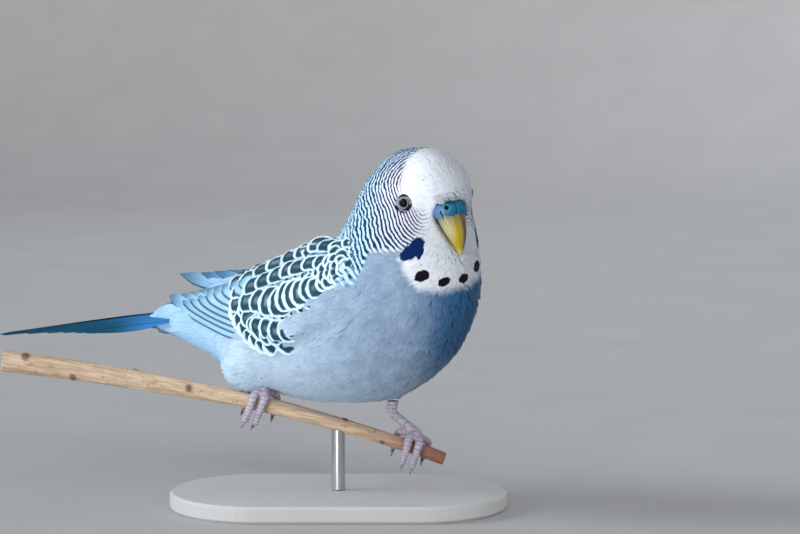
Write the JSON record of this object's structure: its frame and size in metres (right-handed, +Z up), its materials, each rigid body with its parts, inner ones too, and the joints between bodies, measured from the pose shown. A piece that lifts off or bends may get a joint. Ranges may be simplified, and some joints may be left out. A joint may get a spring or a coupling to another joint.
{
  "type": "budgerigar model",
  "caption": "Life-size still model of a small long-tailed parakeet gripping a cut twig, held over a flat display base by a rod.",
  "frame": {"origin": "centre of the display base's underside", "axes": "the bird faces -Y, its left side is +X, +Z is up"},
  "size_m": [0.1031, 0.1915, 0.1073],
  "materials": {
    "white_plumage": "soft, barred black",
    "blue_plumage": "soft",
    "wing_plumage": "white-edged",
    "tail_plumage": "sleek",
    "cere": "waxy",
    "bill": "horn",
    "eye": "wet",
    "foot_skin": "scaly",
    "claw": "horn",
    "twig": "smooth bark",
    "stand_base": "plain matte",
    "stand_rod": "brushed"
  },
  "bodies": {
    "root": {"head": "white_plumage", "neck": "white_plumage", "cere": "cere", "bill_upper": "bill", "bill_lower": "bill", "eye_right": "eye", "eye_left": "eye", "trunk": "blue_plumage", "rump": "blue_plumage", "tail": "tail_plumage", "wing_right": "wing_plumage", "primaries_right": "wing_plumage", "wing_left": "wing_plumage", "primaries_left": "wing_plumage", "thigh_right": "blue_plumage", "shank_right": "foot_skin", "toe_right_inner_front": "foot_skin", "claw_right_inner_front": "claw", "toe_right_outer_front": "foot_skin", "claw_right_outer_front": "claw", "toe_right_inner_rear": "foot_skin", "claw_right_inner_rear": "claw", "toe_right_outer_rear": "foot_skin", "claw_right_outer_rear": "claw", "thigh_left": "blue_plumage", "shank_left": "foot_skin", "toe_left_inner_front": "foot_skin", "claw_left_inner_front": "claw", "toe_left_outer_front": "foot_skin", "claw_left_outer_front": "claw", "toe_left_inner_rear": "foot_skin", "claw_left_inner_rear": "claw", "toe_left_outer_rear": "foot_skin", "claw_left_outer_rear": "claw", "perch": "twig", "stand_base": "stand_base", "stand_rod": "stand_rod"}
  },
  "joints": []
}
